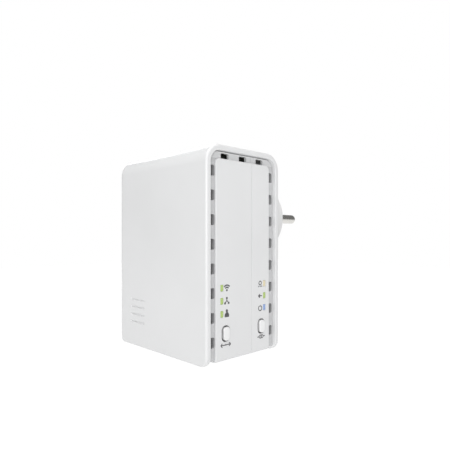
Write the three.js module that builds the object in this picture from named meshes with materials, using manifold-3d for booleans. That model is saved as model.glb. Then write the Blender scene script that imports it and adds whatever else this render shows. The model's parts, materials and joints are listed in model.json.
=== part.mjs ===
// A plug-in powerline adapter with Wi-Fi: a sleeve-shaped housing that hangs from a wall socket by its
// two plug pins, with an indicator panel that wraps round into the underside, two push buttons, an
// Ethernet jack and the circuit boards inside.
//
// Millimetres, +Z up. The origin is the centre of the plug face, between the pins. +Y points into the
// wall, -Y is the broad plain front, and the indicator panel faces +X.

import * as THREE from "three";
import { mergeVertices } from "three/addons/utils/BufferGeometryUtils.js";
import Module from "manifold-3d";

const wasm = await Module();
wasm.setup();

// ---------------------------------------------------------------- driving dimensions

const gap = 0.3; // between pieces that touch
const arcSteps = 6; // straight steps in a quarter turn

// Housing sleeve
const bodyWidth = 67.5; // X
const bodyDepth = 45.7; // Y
const bodyHeight = 92; // Z
const wall = 2.5;
const crownRadius = 7.85; // long top edges
const footRadius = 1.2; // long bottom edges
const closedEndRadius = 3; // top and upright edges of the closed end
const closedHeelRadius = 4.5; // where the closed end turns under
const sleeveHeelRadius = 4.5; // where the sleeve turns under at the panel end
const heelRadius = 2.5; // the sharper line that the bent plate follows there
const rimRadius = 0.8; // outer edge of the open rim
const gripGrooves = 4;
const gripGrooveLength = 12;
const gripGrooveWidth = 1.2;
const gripGrooveDepth = 0.4;
const gripGroovePitch = 3.6;
const gripGrooveFromEnd = 11;
const gripGrooveFromBottom = 12;

// Where the plug sits on the housing's back
const plugFromPanelEnd = 29.4;
const plugFromTop = 29;

// Plug, of the round two-pin 16 A shape
const bossDiameter = 36.5;
const bossLength = 17.5;
const bossWall = 2.5;
const bossEdge = 1;
const flangeOverhang = 2.25;
const flangeThickness = 2;
const clipNotchWidth = 6;
const clipNotchDepth = 1.9;
const earthHoleDiameter = 6.4;
const earthHoleDepth = 15;
const earthHoleAbovePins = 10;
const earthHoleWall = 1.2;
const pinDiameter = 4.8;
const pinLength = 19;
const pinSpacing = 19;
const pinFit = 0.15;
const pinTipRadius = 1.4;
const pinShownInside = 0.5; // past the flange, towards its terminal
const terminalWidth = 5;
const terminalThickness = 0.8;

// Indicator panel and underside, one bent plate in two halves
const panelRecess = 0.9; // below the rim
const channelRecess = 1.85;
const plateBack = 3.1; // inner face of the plate, below the rim
const leastBendRadius = 0.3; // inside the bend of the plate
const channelWidth = 3.5;
const panelTopFromTop = 5.7;
const panelCorner = 2.2;
const splitFromBack = 17.85;
const splitGrooveWidth = 0.9;
const splitGrooveDepth = 0.6;

// Vents through the floor of the channel
const ventLength = 4.5;
const ventWidth = 2.9;
const ventPitch = 10.2;
const firstVentFromBottom = 9.6;
const firstVentFromPanelEnd = 14;
const lastVentFromClosedEnd = 9;
const topVentLength = 4.8;
const topVentWidth = 2.4;
const topVentPitch = 10.85;

// Indicators
const lensWidth = 1.5;
const lensHeight = 2.6;
const lensFit = 0.15;
const lensInset = 9.45; // from the broad faces
const lensRows = [32, 26.5, 21]; // above the bottom
const lensFlange = 0.6;
const lensFlangeThickness = 0.8;
const ledWidth = 1.6;
const ledHeight = 2;
const ledThickness = 0.7;
const ledToLens = 0.4;

// Push buttons
const capWidth = 3.5;
const capHeight = 5.7;
const capCorner = 1.5;
const capFit = 0.35;
const capRecess = 0.05;
const capInset = 11.65;
const capFromBottom = 12.7;
const capFlange = 0.9;
const capFlangeThickness = 1;
const buttonTravel = 0.4;
const plungerDiameter = 3.2;
const plungerShown = 1.4;
const plungerGuided = 1.2;
const switchSide = 6;
const switchHeight = 3.4;

// Circuit boards
const boardThickness = 1.6;
const mainBoardFromFront = 10;
const powerBoardStandoff = 5;
const boardMargin = 2;
const boardToIndicatorBoard = 1.5;
const indicatorBoardThickness = 1.2;
const indicatorBoardFromBottom = 7;
const indicatorBoardHeight = 33;
const indicatorBoardInset = 6.5;
const railHeight = 4;
const railThickness = 1.2;
const railLength = 14;
const railFromClosedEnd = 9;
const spacerDiameter = 2.8;
const spacerAboveLens = 2;
const headerReach = 4;
const headerHeight = 2.5;
const headerLength = 10;
const headerBelowBoardTop = 8;

// Screws that hold the power board to the plug
const screwShank = 2;
const screwLength = 4.2;
const screwHead = 4;
const screwHeadHeight = 1.4;
const postDiameter = 4.4;
const screwHoleFit = 0.3;
const boardHoleFit = 0.5;

// Transformer and the electrolytic capacitors beside it
const transformerWidth = 15;
const transformerHeight = 11;
const transformerLength = 14;
const transformerLeg = 2.6;
const bulkCanRadius = 5;
const bulkCanLength = 16;

// Ethernet jack
const jackWidth = 16;
const jackHeight = 13.5;
const jackLength = 21.3;
const jackFromPanelEnd = 33.75;
const shieldThickness = 0.5;
const portWidth = 11.8;
const portHeight = 8.2;
const portDepth = 15;
const portFloor = 1.3;
const latchSlotWidth = 6.2;
const latchSlotHeight = 1.6;
const contactPitch = 1.02;
const contactWidth = 0.5;
const contactCount = 8;
const contactRise = 1.1;
const contactLength = 9;
const contactCarrier = 2.4;

// ---------------------------------------------------------------- places worked out from them

const panelX = plugFromPanelEnd;
const closedX = panelX - bodyWidth;
const backY = -bossLength;
const frontY = backY - bodyDepth;
const topZ = plugFromTop;
const bottomZ = topZ - bodyHeight;

const insideFrontY = frontY + wall;
const insideBackY = backY - wall;
const insideTopZ = topZ - wall;
const insideClosedX = closedX + wall;
const insideCrownRadius = crownRadius - wall;

const panelInset = wall + channelWidth;
const plateInnerX = panelX - plateBack;
const plateInnerZ = bottomZ + plateBack;
const panelTopZ = topZ - panelTopFromTop;
const splitY = backY - splitFromBack;

const capFaceX = panelX - capRecess;
const capFlangeFrontX = plateInnerX - gap;
const capBackX = capFlangeFrontX - capFlangeThickness;
const plungerTipX = capBackX;
const switchFrontX = plungerTipX - plungerShown;
const indicatorBoardX = switchFrontX - switchHeight - gap;
const indicatorBoardBackX = indicatorBoardX - indicatorBoardThickness;

const flangeOuterY = insideBackY - gap;
const flangeInnerY = flangeOuterY - flangeThickness;
const powerBoardBackY = insideBackY - powerBoardStandoff;
const powerBoardFaceY = powerBoardBackY - boardThickness;
const postEndY = powerBoardBackY + gap;
const mainBoardFrontY = frontY + mainBoardFromFront;
const mainBoardFaceY = mainBoardFrontY + boardThickness;
const boardEdgeX = indicatorBoardBackX - boardToIndicatorBoard;
const boardClosedX = insideClosedX + boardMargin;
const boardTopZ = insideTopZ - boardMargin;
const boardBottomZ = plateInnerZ + gap;

const jackCentreX = panelX - jackFromPanelEnd;
const jackMouthZ = bottomZ + panelRecess + gap;
const jackLowY = mainBoardFaceY + gap;
const jackHighY = jackLowY + jackHeight;
const insertSide = shieldThickness + gap;

const postRadius = bossDiameter / 2 + flangeOverhang - postDiameter / 2;
const postReach = postRadius * Math.SQRT1_2;
const postPlaces = [
  { name: "upper", x: -postReach, z: postReach },
  { name: "lower", x: postReach, z: -postReach },
];

// ---------------------------------------------------------------- solids from three.js shapes

// A three.js geometry as a manifold-3d solid that can be joined and cut.
function solid(geometry) {
  const bare = geometry.index ? geometry.toNonIndexed() : geometry.clone();
  bare.deleteAttribute("normal");
  bare.deleteAttribute("uv");
  const merged = mergeVertices(bare, 1e-4);
  return new wasm.Manifold(
    new wasm.Mesh({
      numProp: 3,
      vertProperties: merged.attributes.position.array,
      triVerts: new Uint32Array(merged.index.array),
    }),
  );
}

function block(x0, x1, y0, y1, z0, z1) {
  const geometry = new THREE.BoxGeometry(x1 - x0, y1 - y0, z1 - z0);
  geometry.translate((x0 + x1) / 2, (y0 + y1) / 2, (z0 + z1) / 2);
  return solid(geometry);
}

// A block given by its centre and its full sizes.
function centredBlock(centre, size) {
  const [x, y, z] = centre;
  const [a, b, c] = size;
  return block(x - a / 2, x + a / 2, y - b / 2, y + b / 2, z - c / 2, z + c / 2);
}

// A rectangle with its own radius at each corner, counted anticlockwise from the low corner.
function roundedRectangle(a0, a1, b0, b1, radii) {
  const [low, right, high, left] = radii;
  const shape = new THREE.Shape();
  shape.moveTo(a0 + low, b0);
  shape.lineTo(a1 - right, b0);
  if (right) shape.absarc(a1 - right, b0 + right, right, -Math.PI / 2, 0, false);
  shape.lineTo(a1, b1 - high);
  if (high) shape.absarc(a1 - high, b1 - high, high, 0, Math.PI / 2, false);
  shape.lineTo(a0 + left, b1);
  if (left) shape.absarc(a0 + left, b1 - left, left, Math.PI / 2, Math.PI, false);
  shape.lineTo(a0, b0 + low);
  if (low) shape.absarc(a0 + low, b0 + low, low, Math.PI, 1.5 * Math.PI, false);
  return shape;
}

function extrude(shape, depth) {
  return new THREE.ExtrudeGeometry(shape, {
    depth,
    bevelEnabled: false,
    curveSegments: arcSteps,
  });
}

// A shape drawn in (y, z), standing along X.
function alongX(shape, x0, x1) {
  const turn = new THREE.Matrix4().makeBasis(
    new THREE.Vector3(0, 1, 0),
    new THREE.Vector3(0, 0, 1),
    new THREE.Vector3(1, 0, 0),
  );
  return solid(extrude(shape, x1 - x0).applyMatrix4(turn).translate(x0, 0, 0));
}

// A shape drawn in (x, z), standing along Y.
function alongY(shape, y0, y1) {
  return solid(extrude(shape, y1 - y0).rotateX(Math.PI / 2).translate(0, y1, 0));
}

// A shape drawn in (x, y), standing along Z.
function alongZ(shape, z0, z1) {
  return solid(extrude(shape, z1 - z0).translate(0, 0, z0));
}

// A turned solid from [radius, height] points, its axis along Y through (x, z).
function turned(points, x, y, z, steps = 20) {
  const profile = points.map(([r, h]) => new THREE.Vector2(r, h));
  const geometry = new THREE.LatheGeometry(profile, steps);
  return solid(geometry.translate(x, y, z));
}

// The same with its axis along X, heights counted towards +X.
function turnedAlongX(points, x, y, z, steps = 20) {
  const profile = points.map(([r, h]) => new THREE.Vector2(r, h));
  const geometry = new THREE.LatheGeometry(profile, steps).rotateZ(-Math.PI / 2);
  return solid(geometry.translate(x, y, z));
}

function rod(radius, y0, y1, x, z, steps = 20) {
  return turned([[0, y0], [radius, y0], [radius, y1], [0, y1]], x, 0, z, steps);
}

function rodAlongX(radius, x0, x1, y, z, steps = 20) {
  return turnedAlongX([[0, x0], [radius, x0], [radius, x1], [0, x1]], 0, y, z, steps);
}

function joined(pieces) {
  return pieces.reduce((sum, next) => sum.add(next));
}

const group = new THREE.Group();
group.name = "powerline_adapter";

function place(name, shape, finish) {
  const mesh = shape.getMesh();
  const geometry = new THREE.BufferGeometry();
  geometry.setAttribute("position", new THREE.BufferAttribute(mesh.vertProperties, 3));
  geometry.setIndex(new THREE.BufferAttribute(mesh.triVerts, 1));
  geometry.computeVertexNormals();
  const made = new THREE.Mesh(geometry, new THREE.MeshStandardMaterial(finish));
  made.name = name;
  group.add(made);
}

// ---------------------------------------------------------------- finishes

const whiteShell = { color: 0xeeefef, roughness: 0.42, metalness: 0 };
const whitePanel = { color: 0xe9eaea, roughness: 0.45, metalness: 0 };
const whiteCap = { color: 0xf2f2f2, roughness: 0.4, metalness: 0 };
const greenLens = { color: 0x9ccc2e, roughness: 0.3, metalness: 0 };
const orangeLens = { color: 0xf2b489, roughness: 0.3, metalness: 0 };
const blueLens = { color: 0x6fb4ea, roughness: 0.3, metalness: 0 };
const darkPlastic = { color: 0x2a2b2d, roughness: 0.6, metalness: 0 };
const yellowPlastic = { color: 0xd8b23c, roughness: 0.5, metalness: 0 };
const bluePlastic = { color: 0x2f6fb0, roughness: 0.5, metalness: 0 };
const boardGreen = { color: 0x1f6b3a, roughness: 0.5, metalness: 0 };
const nickel = { color: 0xc9cacb, roughness: 0.28, metalness: 1 };
const tinPlate = { color: 0xb9bbbd, roughness: 0.35, metalness: 1 };
const gold = { color: 0xd9b24c, roughness: 0.3, metalness: 1 };
const aluminium = { color: 0xbfc2c5, roughness: 0.4, metalness: 1 };
const copper = { color: 0xb5693a, roughness: 0.35, metalness: 1 };
const ferrite = { color: 0x3a3a3c, roughness: 0.7, metalness: 0 };
const chipBlack = { color: 0x1b1c1e, roughness: 0.5, metalness: 0 };
const ledWhite = { color: 0xf4f1dc, roughness: 0.4, metalness: 0 };

// ---------------------------------------------------------------- housing sleeve

// The whole outer form: three rounded outlines that cross each other.
function housingForm() {
  const end = closedEndRadius;
  const seenFromPanel = roundedRectangle(frontY, backY, bottomZ, topZ, [
    footRadius, footRadius, crownRadius, crownRadius,
  ]);
  const seenFromFront = roundedRectangle(closedX, panelX, bottomZ, topZ, [
    closedHeelRadius, sleeveHeelRadius, rimRadius, end,
  ]);
  const seenFromTop = roundedRectangle(closedX, panelX, frontY, backY, [
    end, rimRadius, rimRadius, end,
  ]);
  return alongX(seenFromPanel, closedX, panelX)
    .intersect(alongY(seenFromFront, frontY, backY))
    .intersect(alongZ(seenFromTop, bottomZ, topZ));
}

// The space inside, held back from the walls by a clearance, and open past the panel and the bottom.
function insideForm(clearance) {
  const radius = insideCrownRadius - clearance;
  const outline = roundedRectangle(
    insideFrontY + clearance,
    insideBackY - clearance,
    bottomZ - wall,
    insideTopZ - clearance,
    [0, 0, radius, radius],
  );
  return alongX(outline, insideClosedX + clearance, panelX + wall);
}

// A short stack of level grip grooves near the lower corner of the closed end.
function gripCuts() {
  const grooves = [];
  const radius = gripGrooveWidth / 2;
  const x0 = closedX + gripGrooveFromEnd;
  for (let step = 0; step < gripGrooves; step += 1) {
    const z = bottomZ + gripGrooveFromBottom + step * gripGroovePitch;
    const outline = roundedRectangle(
      x0, x0 + gripGrooveLength, z - radius, z + radius, [radius, radius, radius, radius],
    );
    grooves.push(alongY(outline, frontY - 1, frontY + gripGrooveDepth));
  }
  return joined(grooves);
}

function makeShell() {
  const plugOpening = rod(bossDiameter / 2 + gap, insideBackY - gap, backY + gap, 0, 0, 40);
  const shell = housingForm()
    .subtract(insideForm(0))
    .subtract(plugOpening)
    .subtract(gripCuts());
  place("outer_shell", shell, whiteShell);
}

// ---------------------------------------------------------------- panel and underside

// An L-shaped band seen from the front: down the panel end, round the heel and along the underside,
// between two depths below the housing's outer surface.
function bentBand(outer, inner, bandTop, bandEnd, y0, y1) {
  const innerBend = Math.max(heelRadius - inner, leastBendRadius);
  const outerBend = Math.max(heelRadius - outer, leastBendRadius);
  const innerX = panelX - inner - innerBend;
  const innerZ = bottomZ + inner + innerBend;
  const outerX = panelX - outer - outerBend;
  const outerZ = bottomZ + outer + outerBend;
  const shape = new THREE.Shape();
  shape.moveTo(panelX - outer, bandTop);
  shape.lineTo(panelX - inner, bandTop);
  shape.lineTo(panelX - inner, innerZ);
  shape.absarc(innerX, innerZ, innerBend, 0, -Math.PI / 2, true);
  shape.lineTo(bandEnd, bottomZ + inner);
  shape.lineTo(bandEnd, bottomZ + outer);
  shape.lineTo(outerX, bottomZ + outer);
  shape.absarc(outerX, outerZ, outerBend, -Math.PI / 2, 0, false);
  return alongY(shape, y0, y1);
}

// The raised middle of the plate, with rounded corners at its top and at its far end.
function raisedPanel() {
  const y0 = frontY + panelInset;
  const y1 = backY - panelInset;
  const end = closedX + panelInset;
  const band = bentBand(panelRecess, plateBack, panelTopZ, end, y0, y1);
  const r = panelCorner;
  const fromPanelSide = roundedRectangle(y0, y1, bottomZ, panelTopZ, [0, 0, r, r]);
  const fromBelow = roundedRectangle(end, panelX, y0, y1, [r, 0, 0, r]);
  return band
    .intersect(alongX(fromPanelSide, closedX, panelX))
    .intersect(alongZ(fromBelow, bottomZ, panelTopZ));
}

function vents() {
  const slots = [];
  const reach = plateBack + 1;
  const along = ventLength / 2;
  const sides = [
    [frontY + panelInset - ventWidth, frontY + panelInset],
    [backY - panelInset, backY - panelInset + ventWidth],
  ];
  for (const [y0, y1] of sides) {
    for (let z = bottomZ + firstVentFromBottom; z + along < panelTopZ; z += ventPitch) {
      slots.push(block(panelX - reach, panelX, y0, y1, z - along, z + along));
    }
    const lastX = closedX + lastVentFromClosedEnd;
    for (let x = panelX - firstVentFromPanelEnd; x - along > lastX; x -= ventPitch) {
      slots.push(block(x - along, x + along, y0, y1, bottomZ, bottomZ + reach));
    }
  }
  const middleY = (frontY + backY) / 2;
  const room = bodyDepth / 2 - crownRadius - topVentLength / 2;
  const pairs = Math.floor(room / topVentPitch);
  for (let step = -pairs; step <= pairs; step += 1) {
    const y = middleY + step * topVentPitch;
    const half = topVentLength / 2;
    slots.push(block(panelX - reach, panelX, y - half, y + half, panelTopZ, panelTopZ + topVentWidth));
  }
  return joined(slots);
}

// The two columns of indicators and buttons, mirrored about the middle of the housing's depth.
const columns = [
  {
    name: "left",
    button: "mode",
    lensY: frontY + lensInset,
    capY: frontY + capInset,
    lenses: [greenLens, greenLens, greenLens],
  },
  {
    name: "right",
    button: "pair",
    lensY: backY - lensInset,
    capY: backY - capInset,
    lenses: [orangeLens, greenLens, blueLens],
  },
];
const capZ = bottomZ + capFromBottom;

function capOutline(y, grow) {
  const a = capWidth / 2 + grow;
  const b = capHeight / 2 + grow;
  const r = capCorner + grow;
  return roundedRectangle(y - a, y + a, capZ - b, capZ + b, [r, r, r, r]);
}

function panelOpenings() {
  const cuts = [];
  for (const column of columns) {
    cuts.push(alongX(capOutline(column.capY, capFit), plateInnerX - 1, panelX));
    for (const row of lensRows) {
      const centre = [panelX - plateBack / 2, column.lensY, bottomZ + row];
      const size = [plateBack + 2, lensWidth + 2 * lensFit, lensHeight + 2 * lensFit];
      cuts.push(centredBlock(centre, size));
    }
  }
  const half = jackWidth / 2 + gap;
  cuts.push(
    block(
      jackCentreX - half, jackCentreX + half,
      jackLowY - gap, jackHighY + gap,
      bottomZ, plateInnerZ + 1,
    ),
  );
  return joined(cuts);
}

// A pair of ribs that stand on the underside plate and hold a board's lower edge between them.
function rails(boardFrontY, boardRearY) {
  const x0 = closedX + railFromClosedEnd;
  const z0 = plateInnerZ - (plateBack - channelRecess) / 2;
  const z1 = plateInnerZ + railHeight;
  const front = boardFrontY - gap;
  const rear = boardRearY + gap;
  return block(x0, x0 + railLength, front - railThickness, front, z0, z1)
    .add(block(x0, x0 + railLength, rear, rear + railThickness, z0, z1));
}

// A round spacer from the panel's inner face to the indicator board.
function spacer(y) {
  const z = bottomZ + lensRows[0] + lensHeight + spacerAboveLens;
  const inPlate = plateInnerX + (plateBack - panelRecess) / 2;
  return rodAlongX(spacerDiameter / 2, indicatorBoardX + gap, inPlate, y, z, 12);
}

function makeChassis() {
  const floorBand = bentBand(
    channelRecess, plateBack, insideTopZ, insideClosedX, insideFrontY, insideBackY,
  ).intersect(insideForm(gap));
  const half = splitGrooveWidth / 2;
  const groove = bentBand(
    0, panelRecess + splitGrooveDepth, topZ, closedX, splitY - half, splitY + half,
  );
  const plate = floorBand
    .add(raisedPanel())
    .subtract(vents())
    .subtract(panelOpenings())
    .subtract(groove);
  const frontSide = block(closedX, panelX, frontY, splitY - gap / 2, bottomZ, topZ);
  const rearSide = block(closedX, panelX, splitY + gap / 2, backY, bottomZ, topZ);
  const frontHalf = plate
    .intersect(frontSide)
    .add(rails(mainBoardFrontY, mainBoardFaceY))
    .add(spacer(columns[0].lensY));
  const rearHalf = plate
    .intersect(rearSide)
    .add(rails(powerBoardFaceY, powerBoardBackY))
    .add(spacer(columns[1].lensY));
  place("chassis_front_half", frontHalf, whitePanel);
  place("chassis_rear_half", rearHalf, whitePanel);
}

// ---------------------------------------------------------------- indicators and buttons

function makeIndicators() {
  for (const column of columns) {
    lensRows.forEach((row, index) => {
      const z = bottomZ + row;
      const y = column.lensY;
      const faceX = panelX - panelRecess;
      const flangeX = plateInnerX - gap;
      const tipX = indicatorBoardX + gap + ledThickness + ledToLens;
      const stem = centredBlock([(faceX + tipX) / 2, y, z], [faceX - tipX, lensWidth, lensHeight]);
      const flange = centredBlock(
        [flangeX - lensFlangeThickness / 2, y, z],
        [lensFlangeThickness, lensWidth + 2 * lensFlange, lensHeight + 2 * lensFlange],
      );
      const order = index + 1;
      place(`${column.name}_light_pipe_${order}`, stem.add(flange), column.lenses[index]);
      const chip = centredBlock(
        [indicatorBoardX + gap + ledThickness / 2, y, z],
        [ledThickness, ledWidth, ledHeight],
      );
      place(`${column.name}_led_${order}`, chip, ledWhite);
    });
  }
}

function makeButtons() {
  for (const column of columns) {
    const y = column.capY;
    const stem = alongX(capOutline(y, 0), capBackX, capFaceX);
    const flange = alongX(capOutline(y, capFlange), capBackX, capFlangeFrontX);
    place(`${column.button}_button_cap`, stem.add(flange), whiteCap);

    const plungerEndX = switchFrontX - plungerGuided;
    const plunger = rodAlongX(plungerDiameter / 2, plungerEndX, plungerTipX - gap, y, capZ, 16);
    place(`${column.button}_switch_plunger`, plunger, darkPlastic);

    const holeX = plungerEndX - buttonTravel - gap;
    const hole = rodAlongX(plungerDiameter / 2 + gap, holeX, switchFrontX + gap, y, capZ, 16);
    const bodyX = indicatorBoardX + gap;
    const body = centredBlock(
      [(bodyX + switchFrontX) / 2, y, capZ],
      [switchFrontX - bodyX, switchSide, switchSide],
    );
    place(`${column.button}_switch_body`, body.subtract(hole), tinPlate);
  }
}

// ---------------------------------------------------------------- plug

function makePlug() {
  const r = bossDiameter / 2;
  const flangeRadius = r + flangeOverhang;
  const hollow = r - bossWall;
  const cup = turned(
    [
      [0, -bossWall],
      [hollow, -bossWall],
      [hollow, flangeInnerY],
      [flangeRadius, flangeInnerY],
      [flangeRadius, flangeOuterY],
      [r, flangeOuterY],
      [r, -bossEdge],
      [r - bossEdge, 0],
      [0, 0],
    ],
    0, 0, 0, 40,
  );
  const sleeveRadius = earthHoleDiameter / 2 + earthHoleWall;
  const sleeveEnd = -earthHoleDepth - earthHoleWall;
  const earthSleeve = rod(sleeveRadius, sleeveEnd, -bossWall / 2, 0, earthHoleAbovePins);
  const earthHole = rod(earthHoleDiameter / 2, -earthHoleDepth, 1, 0, earthHoleAbovePins);
  const notch = clipNotchWidth / 2;
  const notchCuts = block(-notch, notch, backY, 1, r - clipNotchDepth, r + 1)
    .add(block(-notch, notch, backY, 1, -r - 1, -r + clipNotchDepth));
  const pinHoles = rod(pinDiameter / 2 + pinFit, -bossWall - 1, 1, -pinSpacing / 2, 0)
    .add(rod(pinDiameter / 2 + pinFit, -bossWall - 1, 1, pinSpacing / 2, 0));
  const posts = joined(
    postPlaces.map(({ x, z }) =>
      rod(postDiameter / 2, postEndY, flangeOuterY - flangeThickness / 2, x, z, 16)),
  );
  const screwHoles = joined(
    postPlaces.map(({ x, z }) =>
      rod(screwShank / 2 + screwHoleFit, postEndY - 1, flangeOuterY - gap, x, z, 12)),
  );
  const boss = cup
    .add(earthSleeve)
    .add(posts)
    .subtract(earthHole)
    .subtract(notchCuts)
    .subtract(pinHoles)
    .subtract(screwHoles);
  place("plug_boss", boss, whiteShell);
}

function makePins() {
  const r = pinDiameter / 2;
  const innerEnd = flangeInnerY - pinShownInside;
  const tip = [];
  for (let step = 0; step <= arcSteps; step += 1) {
    const angle = (step / arcSteps) * (Math.PI / 2);
    tip.push([
      r - pinTipRadius + pinTipRadius * Math.cos(angle),
      pinLength - pinTipRadius + pinTipRadius * Math.sin(angle),
    ]);
  }
  const profile = [[0, innerEnd], [r, innerEnd], ...tip, [0, pinLength]];
  const ends = [
    { name: "live", x: -pinSpacing / 2 },
    { name: "neutral", x: pinSpacing / 2 },
  ];
  for (const { name, x } of ends) {
    place(`${name}_pin`, turned(profile, x, 0, 0), nickel);
    const foot = block(
      x - terminalWidth / 2, x + terminalWidth / 2,
      postEndY, postEndY + terminalThickness,
      -(postReach - postDiameter / 2 - 2 * gap), r,
    );
    const touch = rod(r - 0.4, postEndY + terminalThickness / 2, innerEnd - gap, x, 0, 12);
    place(`${name}_terminal`, foot.add(touch), copper);
  }
}

function makeScrews() {
  const headY = powerBoardFaceY - gap;
  const half = screwShank / 2;
  for (const { name, x, z } of postPlaces) {
    const profile = [
      [0, headY - screwHeadHeight],
      [screwHead / 2 - 0.4, headY - screwHeadHeight],
      [screwHead / 2, headY - screwHeadHeight / 2],
      [screwHead / 2, headY],
      [half, headY],
      [half, headY + screwLength - half],
      [0, headY + screwLength],
    ];
    place(`${name}_board_screw`, turned(profile, x, 0, z, 12), tinPlate);
  }
}

// ---------------------------------------------------------------- circuit boards

function makeBoards() {
  const holes = joined(
    postPlaces.map(({ x, z }) =>
      rod(screwShank / 2 + boardHoleFit, powerBoardFaceY - 1, powerBoardBackY + 1, x, z, 12)),
  );
  const powerBoard = block(
    boardClosedX, boardEdgeX, powerBoardFaceY, powerBoardBackY, boardBottomZ, boardTopZ,
  );
  place("power_board", powerBoard.subtract(holes), boardGreen);
  const mainBoard = block(
    boardClosedX, boardEdgeX, mainBoardFrontY, mainBoardFaceY, boardBottomZ, boardTopZ,
  );
  place("main_board", mainBoard, boardGreen);
  const indicatorBoard = block(
    indicatorBoardBackX, indicatorBoardX,
    frontY + indicatorBoardInset, backY - indicatorBoardInset,
    bottomZ + indicatorBoardFromBottom,
    bottomZ + indicatorBoardFromBottom + indicatorBoardHeight,
  );
  place("indicator_board", indicatorBoard, boardGreen);
}

// A part soldered to a board's inner face. Its centre is given from the board's panel-side edge and
// from its top edge, and it stands on the face by its own height.
function onPowerBoard(fromEdge, fromTop, height) {
  return [boardEdgeX - fromEdge, powerBoardFaceY - gap - height / 2, boardTopZ - fromTop];
}

function onMainBoard(fromEdge, fromTop, height) {
  return [boardEdgeX - fromEdge, mainBoardFaceY + gap + height / 2, boardTopZ - fromTop];
}

function makePowerParts() {
  const boxes = [
    { name: "mains_fuse", at: [11, 6], size: [12, 5, 5], finish: yellowPlastic },
    { name: "x_capacitor", at: [30.5, 19], size: [13, 9, 6], finish: yellowPlastic },
    { name: "bridge_rectifier", at: [4.5, 20], size: [6, 3, 8], finish: chipBlack },
    { name: "supply_controller_chip", at: [17.5, 28], size: [5, 1.5, 4], finish: chipBlack },
    { name: "coupling_transformer", at: [26, 54], size: [10, 8, 8], finish: darkPlastic },
  ];
  for (const { name, at, size, finish } of boxes) {
    const centre = onPowerBoard(at[0], at[1], size[1]);
    place(name, centredBlock(centre, size), finish);
  }
  const discs = [
    { name: "surge_varistor", at: [22.5, 7], radius: 4.5, height: 4, finish: bluePlastic },
    { name: "y_capacitor", at: [10, 27], radius: 3.5, height: 3, finish: bluePlastic },
  ];
  for (const { name, at, radius, height, finish } of discs) {
    const [x, y, z] = onPowerBoard(at[0], at[1], height);
    place(name, rod(radius, y - height / 2, y + height / 2, x, z), finish);
  }
  makeChoke([15, 17.5], 6, 2.2, 8);
  const transformerEdge = boardEdgeX - postReach + screwHead / 2 + gap;
  const canEdge = transformerEdge + transformerWidth + 2 * gap;
  makeTransformer([transformerEdge + transformerWidth / 2, 42]);
  for (const order of [1, 2]) {
    const fromTop = 30 + (order - 1) * (2 * bulkCanRadius + 1);
    const at = [canEdge + bulkCanLength / 2, fromTop];
    makeCan(`bulk_capacitor_${order}`, at, bulkCanRadius, bulkCanLength);
  }
  makeCan("output_capacitor", [12, 54], 3.15, 11);
}

// A ring core with its winding, lying flat on the board.
function makeChoke(at, radius, hole, height) {
  const [x, y, z] = onPowerBoard(at[0], at[1], height);
  const half = height / 2;
  const profile = [[hole, -half], [radius, -half], [radius, half], [hole, half], [hole, -half]];
  place("mains_choke", turned(profile, x, y, z), copper);
}

// An electrolytic can that lies along X, with the crimped ring near one end.
function makeCan(name, at, radius, length) {
  const [x, y, z] = onPowerBoard(at[0], at[1], 2 * radius);
  const half = length / 2;
  const crimp = radius * 0.9;
  const profile = [
    [0, -half], [radius, -half], [radius, half - 3], [crimp, half - 2.4],
    [radius, half - 1.8], [radius, half], [0, half],
  ];
  place(name, turnedAlongX(profile, x, y, z, 16), darkPlastic);
}

// A low switching transformer: a wound bobbin in the window of a two-legged ferrite core.
function makeTransformer(at) {
  const centre = onPowerBoard(at[0], at[1], transformerHeight);
  const windowWidth = transformerWidth - 2 * transformerLeg;
  const windowLength = transformerLength - 2 * transformerLeg;
  const outer = centredBlock(centre, [transformerWidth, transformerHeight, transformerLength]);
  const window = centredBlock(centre, [windowWidth, transformerHeight + 2, windowLength]);
  place("transformer_core", outer.subtract(window), ferrite);
  const winding = centredBlock(
    centre,
    [windowWidth - 2 * gap, transformerHeight - 1, windowLength - 2 * gap],
  );
  place("transformer_winding", winding, yellowPlastic);
}

function makeMainParts() {
  const boxes = [
    { name: "processor_chip", at: [15, 25], size: [12, 1.2, 12], finish: chipBlack },
    { name: "memory_chip", at: [33, 25], size: [8, 1, 10], finish: chipBlack },
    { name: "powerline_chip", at: [9, 40], size: [9, 1, 9], finish: chipBlack },
    { name: "radio_shield", at: [33.5, 37], size: [12, 2.5, 10], finish: tinPlate },
    { name: "clock_crystal", at: [27, 30], size: [3.2, 1, 2.5], finish: tinPlate },
  ];
  for (const { name, at, size, finish } of boxes) {
    const centre = onMainBoard(at[0], at[1], size[1]);
    place(name, centredBlock(centre, size), finish);
  }
  makeNetworkTransformer([10, 5, 7]);
  makeHeatSpreader([15, 25], 1.2, 18);
  makeAntenna("upper_antenna", [30, 8]);
  makeAntenna("edge_antenna", [11, 8]);
  makeHeaders();
}

// The jack's own transformer, just above it on the same board.
function makeNetworkTransformer(size) {
  const y = mainBoardFaceY + gap + size[1] / 2;
  const z = jackMouthZ + jackLength + 1 + size[2] / 2;
  place("network_transformer", centredBlock([jackCentreX, y, z], size), chipBlack);
}

// A finned plate on top of the processor.
function makeHeatSpreader(at, chipHeight, side) {
  const base = 1;
  const finHeight = 1.6;
  const finThickness = 0.9;
  const finPairs = 3;
  const finPitch = (side - finThickness) / (2 * finPairs + 0.4);
  const [x, y, z] = onMainBoard(at[0], at[1], base);
  const baseY = y + chipHeight + gap;
  const parts = [centredBlock([x, baseY, z], [side, base, side])];
  for (let step = -finPairs; step <= finPairs; step += 1) {
    const finX = x + step * finPitch;
    parts.push(
      block(
        finX - finThickness / 2, finX + finThickness / 2,
        baseY, baseY + base / 2 + finHeight,
        z - side / 2, z + side / 2,
      ),
    );
  }
  place("heat_spreader", joined(parts), aluminium);
}

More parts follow.
